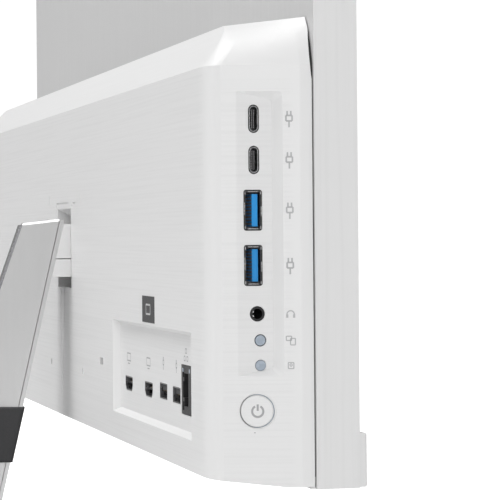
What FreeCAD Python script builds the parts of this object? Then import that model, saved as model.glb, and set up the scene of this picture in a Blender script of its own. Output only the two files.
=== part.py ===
import FreeCAD, Part
import Sketcher
import os
import re

# An all-in-one desktop computer: a display slab with the computer in a
# shallow rear housing, carried by a tilt hinge on one slanted leg and a flat
# base.  Millimetres, +Z up, the screen faces -Y and the side ports face -X.
# The origin is on the desk, in the middle of the object's footprint.

doc = FreeCAD.newDocument("all_in_one")
sheet = doc.addObject("Spreadsheet::Sheet", "Sizes")

SIZES = {
    # display slab
    "slab_width": 612, "slab_height": 370, "slab_depth": 15.4, "slab_wall": 1.6,
    "desk_gap": 70, "slab_back": -34, "bezel": 7, "chin": 26.7, "slab_gap": 0.3,
    "lip_out": 1.6, "lip_thick": 0.6,
    "bar_height": 18.6, "bar_proud": 2.8, "bar_lift": 0.3,
    # rear housing, measured rearward from the slab's back and up from its lowest edge
    "shell": 2.2, "depth_back": 35.4, "depth_crest": 23.4, "foot_back": 3.5, "foot_seam": 0.8,
    "foot_turn": 10, "shoulder": 145.2, "middle": 153.2, "crest_back": 161.0, "crest_seam": 162.3,
    # rear housing, measured inward from the slab's sides
    "inset_seam": 1.1, "inset_side": 1.5, "side_start": 4.5, "inset_turn": 8.8, "side_end": 30.6,
    "inset_corner": 10.5, "inset_back": 21.5, "inset_crest": 34.6, "inset_top": 9.2,
    # the same, and the side's end, at the middle section of the curved shoulder
    "mid_seam": 3.3, "mid_side": 4.6, "mid_turn": 13.2, "mid_end": 24.6, "mid_corner": 15.4,
    "mid_back": 19.0,
    # the narrow dark gap between the housing and the slab
    "gap_wide": 0.45, "gap_deep": 1.1, "lens_wide": 1.1, "lens_height": 149, "lens_curve": 60,
    # side port recess
    "recess_low": 38.9, "recess_high": 136.2, "recess_front": 13.1, "recess_inset": 7.4,
    "recess_lean": 0.64, "recess_flare": 0.75, "recess_round": 2.0,
    "usb_c_one": 126.9, "usb_c_two": 112.8, "usb_c_line": 19.5,
    "usb_a_one": 95.6, "usb_a_two": 76.7, "usb_a_line": 20,
    "jack_height": 60.1, "jack_line": 18.7, "jack_radius": 2.5, "jack_bore": 1.8, "jack_length": 14,
    "lens_one": 51.0, "lens_two": 42.4, "lens_line": 17.7, "lens_radius": 1.8,
    "power_height": 26.9, "power_line": 19.3, "power_radius": 5.5, "power_round": 0.7, "power_moat": 0.4,
    # rear port recess
    "rear_left": -268.6, "rear_right": -119.4, "rear_low": 14.6, "rear_high": 52.8,
    "rear_depth": 3.2, "rear_slope": 1.6,
    "hdmi_one": -138, "hdmi_two": -178, "hdmi_height": 27,
    "rear_usb_one": -206, "rear_usb_two": -229.5, "rear_usb_height": 28.1,
    "lan_centre": -246, "lan_height": 31, "power_in_centre": -260.6, "power_in_height": 28,
    # port sizes
    "usb_c_long": 9.4, "usb_c_short": 3.5, "usb_a_long": 13.3, "usb_a_short": 5.8,
    "hdmi_long": 15.0, "hdmi_short": 5.6, "lan_long": 18, "lan_wide": 16,
    "power_in_radius": 3.6, "port_wall": 0.35,
    # hinge pocket, hinge and leg
    "axis_line": 24, "axis_height": 85, "shaft_radius": 4, "run_gap": 0.05,
    "pocket_half": 18.6, "pocket_low": 63.5, "pocket_high": 100.2, "pocket_roof": 94.6,
    "pocket_floor": 9,
    "groove_half": 10.2, "groove_deep": 1.6, "neck_half": 18, "neck_front": 13.5,
    "neck_low": 68.8, "neck_seam": 77.3, "neck_high": 93.0,
    "leg_half": 17, "leg_spine": 3.5, "leg_plate": 1.5, "leg_front": 38, "leg_rear": 56.4, "leg_top_front": 95.6,
    "leg_top_rear": 93.6, "front_lean": 0.234, "rear_lean": 0.3556, "leg_lip": 2.0, "leg_wall": 2.4,
    "clip_low": -15.7, "clip_high": 9.5, "clip_proud": 1.0, "clip_loop": 20,
    # base
    "base_width": 250, "base_depth": 186, "base_thick": 6, "base_corner": 20, "foot_thick": 1.5,
    "foot_radius": 8, "ballast_thick": 3, "ballast_margin": 9,
    # lock slot
    "lock_x": -93.3, "lock_height": 33.9, "lock_long": 7,
}
for row, (alias, value) in enumerate(SIZES.items(), start=1):
    sheet.set(f"A{row}", alias)
    sheet.set(f"B{row}", str(value))
    sheet.setAlias(f"B{row}", alias)
doc.recompute()

subparts = []


def size(alias):
    """A driving dimension as a number."""
    return float(sheet.get(alias))


def expression(text):
    """An expression in which every size's name points at the sheet."""
    return re.sub(r"[a-z][a-z_]+", lambda word: "Sizes." + word.group(), str(text))


def number(text):
    """The present value of an expression."""
    value = sheet.evalExpression(expression(text))
    return float(getattr(value, "Value", value))


def bind(thing, path, text):
    thing.setExpression(path, expression(text))


def listed(thing, label):
    """Give a finished sub-part its name and put it on the list that is written."""
    thing.Label = label
    subparts.append(thing)
    return thing


# ---- primitives ---------------------------------------------------------

def box(name, x, y, z, along_x, along_y, along_z):
    """A box from its lowest corner and three lengths, all expressions."""
    thing = doc.addObject("Part::Box", name)
    bind(thing, "Length", along_x)
    bind(thing, "Width", along_y)
    bind(thing, "Height", along_z)
    for axis, text in zip("xyz", (x, y, z)):
        bind(thing, "Placement.Base." + axis, text)
    return thing


TURNS = {
    "x": FreeCAD.Rotation(FreeCAD.Vector(0, 1, 0), 90),
    "y": FreeCAD.Rotation(FreeCAD.Vector(1, 0, 0), -90),
    "z": FreeCAD.Rotation(),
}


def rod(name, axis, x, y, z, radius, length):
    """A cylinder that starts at a point and runs along +x, +y or +z."""
    thing = doc.addObject("Part::Cylinder", name)
    thing.Placement = FreeCAD.Placement(FreeCAD.Vector(), TURNS[axis])
    bind(thing, "Radius", radius)
    bind(thing, "Height", length)
    for letter, text in zip("xyz", (x, y, z)):
        bind(thing, "Placement.Base." + letter, text)
    return thing


def fuse(name, things):
    whole = doc.addObject("Part::MultiFuse", name)
    whole.Shapes = things
    return whole


def group(name, things):
    """Several separate solids that share one node."""
    whole = doc.addObject("Part::Compound", name)
    whole.Links = things
    return whole


def cut(name, base, tools):
    """The base less one tool or several."""
    tool = tools[0] if len(tools) == 1 else fuse(name + "_tools", tools)
    whole = doc.addObject("Part::Cut", name)
    whole.Base = base
    whole.Tool = tool
    return whole


def tube(name, axis, x, y, z, outer, inner, length):
    """A round tube along an axis."""
    solid = rod(name + "_outer", axis, x, y, z, outer, length)
    hole = rod(name + "_inner", axis, x, y, z, inner, length)
    return cut(name, solid, [hole])


# ---- PartDesign helpers --------------------------------------------------

def new_body(label):
    return listed(doc.addObject("PartDesign::Body", label), label)


def new_sketch(body, plane, offset="0"):
    """A sketch on one of the body's own origin planes, moved along its normal."""
    sketch = body.newObject("Sketcher::SketchObject", body.Label + "_sketch")
    support = [item for item in body.Origin.OriginFeatures if item.Role == plane]
    sketch.AttachmentSupport = [(support[0], "")]
    sketch.MapMode = "FlatFace"
    bind(sketch, "AttachmentOffset.Base.z", offset)
    return sketch


def outline(sketch, corners):
    """A closed outline of straight sides; each corner is a pair of expressions."""
    first = sketch.GeometryCount
    points = [FreeCAD.Vector(number(u), number(v), 0) for u, v in corners]
    count = len(points)
    for index in range(count):
        sketch.addGeometry(Part.LineSegment(points[index], points[(index + 1) % count]), False)
    for index, (u, v) in enumerate(corners):
        here = first + index
        following = first + (index + 1) % count
        sketch.addConstraint(Sketcher.Constraint("Coincident", here, 2, following, 1))
        for kind, text, value in (("DistanceX", u, points[index].x), ("DistanceY", v, points[index].y)):
            place = sketch.addConstraint(Sketcher.Constraint(kind, -1, 1, here, 1, value))
            bind(sketch, f"Constraints[{place}]", text)


def ring(sketch, u, v, radius):
    """A circle whose centre and radius are expressions."""
    centre = FreeCAD.Vector(number(u), number(v), 0)
    here = sketch.GeometryCount
    sketch.addGeometry(Part.Circle(centre, FreeCAD.Vector(0, 0, 1), number(radius)), False)
    for kind, text, value in (("DistanceX", u, centre.x), ("DistanceY", v, centre.y)):
        place = sketch.addConstraint(Sketcher.Constraint(kind, -1, 1, here, 3, value))
        bind(sketch, f"Constraints[{place}]", text)
    place = sketch.addConstraint(Sketcher.Constraint("Radius", here, number(radius)))
    bind(sketch, f"Constraints[{place}]", radius)


def rectangle(sketch, low_u, low_v, high_u, high_v):
    outline(sketch, [(low_u, low_v), (high_u, low_v), (high_u, high_v), (low_u, high_v)])


def pad(body, sketch, length):
    feature = body.newObject("PartDesign::Pad", body.Label + "_pad")
    feature.Profile = sketch
    bind(feature, "Length", length)
    return feature


def pocket(body, sketch, length):
    """A pocket that must remove material, or the build stops."""
    doc.recompute()
    before = body.Shape.Volume
    feature = body.newObject("PartDesign::Pocket", body.Label + "_pocket")
    feature.Profile = sketch
    feature.Reversed = True
    bind(feature, "Length", length)
    doc.recompute()
    if body.Shape.Volume > before - 1e-3:
        raise RuntimeError(body.Label + ": a pocket removes nothing")
    return feature


def dress(body, kind, names, amount):
    """A fillet or chamfer on named edges of the body's last feature."""
    last = body.Tip
    feature = body.newObject("PartDesign::" + kind, body.Label + "_" + kind.lower())
    feature.Base = (last, names)
    bind(feature, "Radius" if kind == "Fillet" else "Size", amount)
    return feature


# ---- rear housing --------------------------------------------------------

def place(inset, rearward, up, side=-1):
    """A point from its inset from a side, distance behind the slab and height above its foot."""
    half = size("slab_width") / 2
    return FreeCAD.Vector(side * (half - inset), size("slab_back") + rearward, size("desk_gap") + up)


def section(stations, height):
    """A closed wire across the housing from the stations of one side, seam first.

    The fourth station is the control point of the curve round the corner."""
    left = [place(inset, rearward, height(rearward)) for inset, rearward in stations]
    right = [place(inset, rearward, height(rearward), 1) for inset, rearward in stations]
    edges = []
    for row in (left, right):
        corner = Part.BezierCurve()
        corner.setPoles(row[2:5])
        edges.append([Part.LineSegment(row[0], row[1]).toShape(),
                      Part.LineSegment(row[1], row[2]).toShape(), corner.toShape()])
    back = Part.LineSegment(left[4], right[4]).toShape()
    seam = Part.LineSegment(right[0], left[0]).toShape()
    return Part.Wire(edges[0] + [back] + edges[1][::-1] + [seam])


def housing_form(wall):
    """The housing's outer form, or with a wall its hollow, as one closed solid."""
    foot, shoulder, middle = size("foot_seam"), size("shoulder"), size("middle")
    back, crest = size("depth_back"), size("depth_crest")
    bevel = (back - crest) / (size("crest_back") - shoulder)
    mid_back = back - bevel * (middle - shoulder)
    low = [(size("inset_seam") + wall, -wall), (size("inset_side") + wall, size("side_start")),
           (size("inset_turn") + wall, size("side_end") - 0.6 * wall),
           (size("inset_corner") + 0.7 * wall, back - wall), (size("inset_back") + 0.3 * wall, back - wall)]
    mid = [(size("mid_seam") + wall, -wall), (size("mid_side") + wall, size("side_start")),
           (size("mid_turn") + wall, size("mid_end") - 0.4 * wall),
           (size("mid_corner") + wall, mid_back - wall), (size("mid_back") + 0.8 * wall, mid_back - wall)]
    top_in, top_seam = size("inset_crest") + 0.4 * wall, size("inset_top") + wall
    run = top_in - top_seam
    top = [(top_seam + run * share, crest * share - wall) for share in (0, 0.2, 0.85, 0.92, 1)]
    slope = (size("crest_seam") - size("crest_back")) / crest
    flat = lambda level: (lambda rearward: level)
    rise = FreeCAD.Vector(0, 0, shoulder - foot - 1.3 * wall)
    lower = Part.Face(section(low, flat(foot + wall))).extrude(rise)
    wires = [section(low, flat(shoulder - 0.3 * wall)), section(mid, flat(middle - 0.6 * wall)),
             section(top, lambda rearward: size("crest_seam") - slope * rearward - wall)]
    upper = Part.makeLoft(wires, True, False)
    return lower.fuse(upper)


def made(label, shape):
    """A sub-part whose shape is worked out here from the sheet's sizes."""
    thing = doc.addObject("Part::Feature", label)
    thing.Shape = shape
    thing.Placement = FreeCAD.Placement()
    return listed(thing, label)


def block(low, high):
    """A plain box shape between two corners."""
    spans = [high[axis] - low[axis] for axis in range(3)]
    return Part.makeBox(*spans, FreeCAD.Vector(*low))


def capsule(centre, direction, long, short, length, upright=True):
    """A round-ended bar whose section is long by short, starting at a centre point."""
    reach = (long - short) / 2
    across = {"x": FreeCAD.Vector(0, 0, 1) if upright else FreeCAD.Vector(0, 1, 0),
              "y": FreeCAD.Vector(1, 0, 0)}[direction]
    along = {"x": FreeCAD.Vector(1, 0, 0), "y": FreeCAD.Vector(0, 1, 0)}[direction]
    side = across.cross(along)
    half = short / 2
    tips = [centre + across * reach, centre - across * reach]
    edges = [Part.LineSegment(tips[0] + side * half, tips[1] + side * half).toShape(),
             Part.Arc(tips[1] + side * half, tips[1] - across * half, tips[1] - side * half).toShape(),
             Part.LineSegment(tips[1] - side * half, tips[0] - side * half).toShape(),
             Part.Arc(tips[0] - side * half, tips[0] + across * half, tips[0] + side * half).toShape()]
    return Part.Face(Part.Wire(edges)).extrude(along * length)


def loft_box(near, far):
    """A closed solid between two rectangles, each a list of four corners."""
    return Part.makeLoft([Part.makePolygon(near + near[:1]), Part.makePolygon(far + far[:1])], True, True)


LEFT = -size("slab_width") / 2
BACK = size("slab_back")
FOOT = size("desk_gap")
FLOOR_X = LEFT + size("recess_inset")
REAR_Y = BACK + size("depth_back") - size("rear_depth")
USB_C = [("usb_c_one", "usb_c_line"), ("usb_c_two", "usb_c_line")]
USB_A = [("usb_a_one", "usb_a_line"), ("usb_a_two", "usb_a_line")]
HDMI = ["hdmi_one", "hdmi_two"]
REAR_USB = ["rear_usb_one", "rear_usb_two"]


def side_point(height, line, x=FLOOR_X):
    """A point on the side recess's floor from the aliases of its height and depth."""
    return FreeCAD.Vector(x, BACK + size(line), FOOT + size(height))


def side_recess_tool():
    """The space of the side port recess: a flat floor and walls that open outwards.

    The top and bottom walls meet the sloping side panel along level edges."""
    out = size("recess_inset") + 1
    front, rear = BACK + size("recess_front"), BACK + size("depth_back") + 5
    low, high = FOOT + size("recess_low"), FOOT + size("recess_high")
    flare, lean = size("recess_flare"), size("recess_lean") * out
    side_slope = (size("inset_turn") - size("inset_side")) / (size("side_end") - size("side_start"))
    flush = BACK + size("side_start") + (size("recess_inset") - size("inset_side")) / side_slope

    def frame(x, front_edge, grow):
        near = flare * side_slope * (flush - front_edge) - grow
        far = flare * side_slope * (flush - rear) - grow
        return [FreeCAD.Vector(x, front_edge, low + near), FreeCAD.Vector(x, rear, low + far),
                FreeCAD.Vector(x, rear, high - far), FreeCAD.Vector(x, front_edge, high - near)]
    mouth = frame(FLOOR_X - out, front - lean, flare * out)
    tool = loft_box(frame(FLOOR_X, front, 0), mouth)
    corners = []
    for edge in tool.Edges:
        span = edge.BoundBox
        if span.YLength < lean + 1e-3 and span.XLength > 1 and span.YMin < front:
            corners.append(edge)
    return tool.makeFillet(size("recess_round"), corners)


def rear_recess_tool():
    """The space of the rear port recess, with walls that open outwards."""
    deep, out, slope = size("rear_depth"), 1, size("rear_slope")
    low, high = FOOT + size("rear_low"), FOOT + size("rear_high")
    left, right = size("rear_left"), size("rear_right")
    more = slope * out / deep

    def frame(y, grow):
        return [FreeCAD.Vector(left - grow, y, low - grow), FreeCAD.Vector(right + grow, y, low - grow),
                FreeCAD.Vector(right + grow, y, high + grow), FreeCAD.Vector(left - grow, y, high + grow)]
    return loft_box(frame(REAR_Y, -slope), frame(REAR_Y + deep + out, more))


def hdmi_form(x, y, length, grow=0):
    """A wide port's outline with its two lower corners cut off, run forward from y."""
    half, tall = size("hdmi_long") / 2 + grow, size("hdmi_short") / 2 + grow
    z = FOOT + size("hdmi_height")
    nip = 2.0
    points = [(-half, tall), (half, tall), (half, nip - tall), (half - nip, -tall), (nip - half, -tall),
              (-half, nip - tall)]
    corners = [FreeCAD.Vector(x + u, y, z + v) for u, v in points]
    return Part.Face(Part.makePolygon(corners + corners[:1])).extrude(FreeCAD.Vector(0, -length, 0))


def rear_box(x, height, wide, tall, y, length, grow=0):
    """A plain rear port's outline run forward from y."""
    z = FOOT + size(height)
    half, rise = wide / 2 + grow, tall / 2 + grow
    return block((x - half, y - length, z - rise), (x + half, y, z + rise))


# ---- rear housing shell with every opening in it

SHELL = size("shell")
CLEAR = 0.15
PLAY = 0.3
OUTSIDE = BACK + size("depth_back")


def housing_tools():
    """Everything cut out of the housing's shell."""
    through = 12
    tools = [side_recess_tool(), rear_recess_tool()]
    for height, line in USB_C:
        tools.append(capsule(side_point(height, line, FLOOR_X - 1), "x", size("usb_c_long") + 2 * CLEAR,
                             size("usb_c_short") + 2 * CLEAR, through))
    for height, line in USB_A:
        centre = side_point(height, line)
        tall, wide = size("usb_a_long") / 2 + CLEAR, size("usb_a_short") / 2 + CLEAR
        tools.append(block((centre.x - 1, centre.y - wide, centre.z - tall),
                           (centre.x + through, centre.y + wide, centre.z + tall)))
    for height, line, radius in (("jack_height", "jack_line", "jack_radius"),
                                 ("lens_one", "lens_line", "lens_radius"),
                                 ("lens_two", "lens_line", "lens_radius"),
                                 ("power_height", "power_line", "power_radius")):
        wide = size(radius) + (PLAY if height in ("power_height", "lens_one") else CLEAR)
        tools.append(Part.makeCylinder(wide, through + 5, side_point(height, line, LEFT - 1),
                                       FreeCAD.Vector(1, 0, 0)))
    for name in HDMI:
        tools.append(hdmi_form(size(name), REAR_Y + 1, through, CLEAR))
    for name in REAR_USB:
        tools.append(rear_box(size(name), "rear_usb_height", size("usb_a_long"), size("usb_a_short"),
                              REAR_Y + 1, through, CLEAR))
    tools.append(rear_box(size("lan_centre"), "lan_height", size("lan_wide"), size("lan_long"),
                          REAR_Y + 1, through, CLEAR))
    tools.append(Part.makeCylinder(size("power_in_radius") + CLEAR, through,
                                   FreeCAD.Vector(size("power_in_centre"), REAR_Y + 1,
                                                  FOOT + size("power_in_height")), FreeCAD.Vector(0, -1, 0)))
    lock_x, lock_z, lock_half = size("lock_x"), FOOT + size("lock_height"), size("lock_long") / 2
    tools.append(block((lock_x - lock_half, OUTSIDE - 5, lock_z - 1.5),
                       (lock_x + lock_half, OUTSIDE + 1, lock_z + 1.5)))
    tools += vents() + small_marks()
    return tools


def vents():
    """Air slots: a row in the top wall and a row in the underside."""
    tools = []
    slot_long, pitch, count = 12, 17, 17
    for index in range(count):
        x = (index - (count - 1) / 2) * pitch
        tools.append(block((x - slot_long / 2, BACK + 8, FOOT + size("crest_back") - 5),
                           (x + slot_long / 2, BACK + 11, FOOT + size("crest_seam") + 1)))
        tools.append(block((x - slot_long / 2, BACK + 14, FOOT - 1),
                           (x + slot_long / 2, BACK + 17, FOOT + 6)))
    return tools


def small_marks():
    """Shallow ticks, lines and dots moulded above the hinge, and two screw holes below it."""
    deep = 0.5
    face = OUTSIDE - deep
    marks = [(-42.7, 104.5, 0.9, 4.5), (42.7, 104.5, 0.9, 4.5), (4, 102.8, 34, 0.7), (-29, 102.6, 9, 0.7)]
    tools = [block((x - w / 2, face, FOOT + z - t / 2), (x + w / 2, OUTSIDE + 1, FOOT + z + t / 2))
             for x, z, w, t in marks]
    dots = [(-22, 101.3, 0.9, deep), (22, 101.3, 0.9, deep), (-46, 27, 1.6, 1.6), (40, 27, 1.6, 1.6)]
    for x, z, radius, depth in dots:
        tools.append(Part.makeCylinder(radius, depth + 1, FreeCAD.Vector(x, OUTSIDE + 1, FOOT + z),
                                       FreeCAD.Vector(0, -1, 0)))
    return tools


def hinge_pocket(grow, floor):
    """The space for the hinge neck in the housing's back, grown by the wall round it.

    Its roof rises rearward from the hinge's axis, to clear the leg when the slab tilts."""
    half = size("pocket_half") + grow
    low, roof = FOOT + size("pocket_low") - grow, FOOT + size("pocket_roof") + grow
    rise = (size("pocket_high") - size("pocket_roof")) / (size("depth_back") - size("axis_line"))
    mouth = OUTSIDE + 2 - 2 * min(grow, 1)
    bend = BACK + size("axis_line")
    points = [(BACK + floor, low), (mouth, low), (mouth, roof + rise * (mouth - bend)), (bend, roof),
              (BACK + floor, roof)]
    return side_prism(half, points)


def side_prism(half, corners):
    """A solid of even width about the middle plane from a side outline of (y, z) numbers."""
    points = [FreeCAD.Vector(-half, y, z) for y, z in corners]
    return Part.Face(Part.makePolygon(points + points[:1])).extrude(FreeCAD.Vector(2 * half, 0, 0))


def seam_gap():
    """The narrow gap between the housing's rim and the slab, wider at the two upper corners."""
    half, wide = size("slab_width") / 2 + 1, size("gap_wide")
    band = block((-half, BACK - 1, FOOT - 2), (half, BACK + wide, FOOT + size("slab_height")))
    curve, away = size("lens_curve"), half - 2 * size("inset_top")
    for start in (-half, away):
        centre = FreeCAD.Vector(start, BACK + size("lens_wide") - curve, FOOT + size("lens_height"))
        band = band.fuse(Part.makeCylinder(curve, half - away, centre, FreeCAD.Vector(1, 0, 0)))
    return band.cut(housing_form(size("gap_deep")))


def power_moat():
    """A shallow step round the power button's hole that follows the housing's skin."""
    centre = side_point("power_height", "power_line", LEFT - 1)
    wide = size("power_radius") + PLAY + size("power_moat")
    rim = Part.makeCylinder(wide, 20, centre, FreeCAD.Vector(1, 0, 0))
    return rim.cut(housing_form(size("power_moat")))


def groove_tool():
    """A shallow channel below the hinge that fades out towards the housing's foot."""
    half, deep = size("groove_half"), size("groove_deep")
    top, foot = FOOT + size("pocket_low") + 0.5, FOOT + size("foot_back") + 1
    corners = [(OUTSIDE - deep, top), (OUTSIDE + 2, top), (OUTSIDE + 2, foot), (OUTSIDE, foot)]
    return side_prism(half, corners)


def rear_housing():
    outer = housing_form(0)
    hollow = housing_form(SHELL)
    side, rear = side_recess_tool(), rear_recess_tool()
    keep = hinge_pocket(SHELL, size("pocket_floor") - SHELL)
    side_wall = block((LEFT, BACK + size("recess_front") - 6, FOOT + size("recess_low") - 9),
                      (FLOOR_X + SHELL, OUTSIDE, FOOT + size("recess_high") + 9))
    rear_wall = block((size("rear_left") - 2, REAR_Y - SHELL, FOOT + size("rear_low") - 2),
                      (size("rear_right") + 2, OUTSIDE, FOOT + size("rear_high") + 2))
    groove_wall = block((-size("groove_half") - 2, OUTSIDE - size("groove_deep") - SHELL, FOOT + 6),
                        (size("groove_half") + 2, OUTSIDE, FOOT + size("pocket_low")))
    hollow = hollow.cut(Part.makeCompound([keep, side_wall, rear_wall, groove_wall]))
    slope = [(size("foot_turn"), size("foot_seam")), (size("depth_back") + 1, size("foot_back") + 0.1),
             (size("depth_back") + 1, -1), (size("foot_turn"), -1)]
    points = [FreeCAD.Vector(LEFT - 1, BACK + rearward, FOOT + up) for rearward, up in slope]
    underside = Part.Face(Part.makePolygon(points + points[:1])).extrude(FreeCAD.Vector(-2 * LEFT + 2, 0, 0))
    lift = Part.Face(Part.makePolygon([p + FreeCAD.Vector(0, 0, SHELL) for p in points + points[:1]]))
    floor = lift.extrude(FreeCAD.Vector(-2 * LEFT + 2, 0, 0))
    shell = outer.cut(hollow.cut(floor)).cut(underside)
    shaft = Part.makeCylinder(size("shaft_radius") + 0.6, 60, FreeCAD.Vector(-30, BACK + size("axis_line"),
                              FOOT + size("axis_height")), FreeCAD.Vector(1, 0, 0))
    tools = housing_tools() + [hinge_pocket(0, size("pocket_floor")), groove_tool(), shaft]
    tools += [seam_gap(), power_moat()]
    for tool in tools:
        shell = shell.cut(tool)
    return shell


made("rear_housing", rear_housing().Solids[0])


# ---- display slab ----------------------------------------------------------

def slab_tray():
    """The slab's rear cover: a shallow tray with a window behind the housing."""
    body = new_body("slab_rear_cover")
    sketch = new_sketch(body, "XZ_Plane", "-slab_back")
    rectangle(sketch, "-slab_width/2", "desk_gap", "slab_width/2", "desk_gap+slab_height")
    pad(body, sketch, "slab_depth")
    inner = new_sketch(body, "XZ_Plane", "slab_wall-slab_back")
    rectangle(inner, "slab_wall-slab_width/2", "desk_gap+slab_wall", "slab_width/2-slab_wall",
              "desk_gap+slab_height-slab_wall")
    pocket(body, inner, "slab_depth")
    lip = new_sketch(body, "XZ_Plane", "-slab_back-lip_out")
    rectangle(lip, "2-slab_width/2", "desk_gap", "slab_width/2-2", "desk_gap+lip_thick")
    pad(body, lip, "lip_out")
    window = new_sketch(body, "XZ_Plane", "-slab_back-1")
    rectangle(window, "30-slab_width/2", "desk_gap+14", "slab_width/2-30", "desk_gap+shoulder-6")
    pocket(body, window, "slab_wall+2")
    return body


def bezel_ring(label, y, depth):
    """The rectangular front bezel, with a small hole for the camera in its top side."""
    body = new_body(label)
    sketch = new_sketch(body, "XZ_Plane", f"0-({y})")
    rectangle(sketch, *INSIDE)
    rectangle(sketch, *SCREEN)
    ring(sketch, "0", "desk_gap+slab_height-3.5", "1.25")
    pad(body, sketch, depth)
    return body


def plate(label, y, depth, corners):
    """A flat plate facing the front, from its rear plane forward."""
    body = new_body(label)
    sketch = new_sketch(body, "XZ_Plane", f"0-({y})")
    rectangle(sketch, *corners)
    pad(body, sketch, depth)
    return body


INSIDE = ("slab_wall+slab_gap-slab_width/2", "desk_gap+slab_wall+slab_gap",
          "slab_width/2-slab_wall-slab_gap", "desk_gap+slab_height-slab_wall-slab_gap")
GLASS = ("bezel-2-slab_width/2", "desk_gap+chin-2", "slab_width/2-bezel+2", "desk_gap+slab_height-bezel+2")
SCREEN = ("bezel-slab_width/2", "desk_gap+chin", "slab_width/2-bezel", "desk_gap+slab_height-bezel")
slab_tray()
bezel_ring("front_bezel", "slab_back-slab_depth+1.8", "1.8")
plate("display_panel", "slab_back-slab_depth+3.4", "1.5", GLASS)
plate("backlight_tray", "slab_back-slab_depth+9", "5.5", GLASS)
plate("chassis_plate", "slab_back-slab_wall-0.3", "1.2",
      ("14-slab_width/2", "desk_gap+8", "slab_width/2-14", "desk_gap+200"))


def speaker_bar():
    """The strip that stands proud of the chin, with rounded ends."""
    body = new_body("speaker_bar")
    sketch = new_sketch(body, "XZ_Plane", "slab_depth-slab_back")
    rectangle(sketch, "0.4-slab_width/2", "desk_gap+bar_lift", "slab_width/2-0.4",
              "desk_gap+bar_lift+bar_height")
    pad(body, sketch, "bar_proud")
    doc.recompute()
    names = []
    shape = body.Shape
    front = shape.BoundBox.YMin
    for index, edge in enumerate(shape.Edges, start=1):
        if edge.BoundBox.YMax < front + 1e-3:
            names.append(f"Edge{index}")
    dress(body, "Fillet", names, "bar_proud*0.4")
    return body


speaker_bar()


def boxes(label, rows):
    """Separate boxes that share one node; each row is a lowest corner and three lengths."""
    made_boxes = [box(f"{label}_{index}", *row) for index, row in enumerate(rows, start=1)]
    return listed(made_boxes[0] if len(rows) == 1 else group(label + "_set", made_boxes), label)


def rods(label, axis, rows):
    """Separate cylinders that share one node; each row is a start point, a radius and a length."""
    made_rods = [rod(f"{label}_{index}", axis, *row) for index, row in enumerate(rows, start=1)]
    return listed(made_rods[0] if len(rows) == 1 else group(label + "_set", made_rods), label)


boxes("speakers", [(x, "slab_back-6.3", "desk_gap+3", "96", "2.9", "18") for x in ("-270", "174")])
boxes("camera_module", [("-20", "slab_back-slab_depth+2", "desk_gap+slab_height-bezel+2.2",
                         "40", "4", "2.6")])
rods("camera_lens", "y", [("0", "slab_back-slab_depth+0.4", "desk_gap+slab_height-3.5", "1.1", "1.5")])
boxes("camera_shutter", [("3", "slab_back-slab_depth-0.9", "desk_gap+slab_height-5.2", "8", "0.8", "3.4")])

# ---- ports -------------------------------------------------------------------

THIN = size("port_wall")


def shells(label, forms):
    """Thin metal port shells with a closed back: pairs of outer and inner forms."""
    made(label, Part.makeCompound([outer.cut(inner) for outer, inner in forms]))


def usb_c_pair(height, line):
    centre = side_point(height, line)
    long, short = size("usb_c_long"), size("usb_c_short")
    outer = capsule(centre, "x", long, short, 10)
    return outer, capsule(centre - FreeCAD.Vector(1, 0, 0), "x", long - 2 * THIN, short - 2 * THIN, 10.2)


def usb_a_forms(centre, along_x, length):
    """A USB-A shell's outer and inner boxes, opening towards -X or towards +Y."""
    long, short = size("usb_a_long") / 2, size("usb_a_short") / 2
    forms = []
    for grow, start, end in ((0, 0, length), (-THIN, -1, length - 1)):
        if along_x:
            forms.append(block((centre.x + start, centre.y - short - grow, centre.z - long - grow),
                               (centre.x + end, centre.y + short + grow, centre.z + long + grow)))
        else:
            forms.append(block((centre.x - long - grow, centre.y - end, centre.z - short - grow),
                               (centre.x + long + grow, centre.y - start, centre.z + short + grow)))
    return forms


shells("usb_c_shells", [usb_c_pair(*pair) for pair in USB_C])
made("usb_c_tongues", Part.makeCompound([
    block((p.x + 1.2, p.y - 0.35, p.z - 3.3), (p.x + 9.2, p.y + 0.35, p.z + 3.3))
    for p in (side_point(*pair) for pair in USB_C)]))
shells("usb_a_shells", [usb_a_forms(side_point(*pair), True, 13.5) for pair in USB_A])
made("usb_a_tongues", Part.makeCompound([
    block((p.x + 1.0, p.y - 1.9, p.z - 5.55), (p.x + 12.5, p.y + 0.1, p.z + 5.55))
    for p in (side_point(*pair) for pair in USB_A)]))

jack = side_point("jack_height", "jack_line")
jack_solid = Part.makeCylinder(size("jack_radius"), 4, jack, FreeCAD.Vector(1, 0, 0)).fuse(
    block((jack.x + 3.4, jack.y - 2.9, jack.z - 3), (jack.x + 15.5, jack.y + 2.9, jack.z + 3)))
made("audio_jack", jack_solid.cut(Part.makeCylinder(size("jack_bore"), size("jack_length"), jack,
                                                    FreeCAD.Vector(1, 0, 0))))


def button(label, point, radius, skin, reach, rounding):
    """A push button that follows the housing's skin, with a flange that holds it inside."""
    stem = Part.makeCylinder(radius, reach + 12, FreeCAD.Vector(point.x - 12, point.y, point.z),
                             FreeCAD.Vector(1, 0, 0)).common(skin)
    rings = [edge for edge in stem.Edges if edge.Length > 2 * radius]
    rim = min(rings, key=lambda edge: edge.CenterOfMass.x)
    stem = stem.makeFillet(rounding, [rim])
    flange = Part.makeCylinder(radius + 1.2, 1, FreeCAD.Vector(point.x + reach, point.y, point.z),
                               FreeCAD.Vector(1, 0, 0))
    made(label, stem.fuse(flange).removeSplitter())


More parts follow.
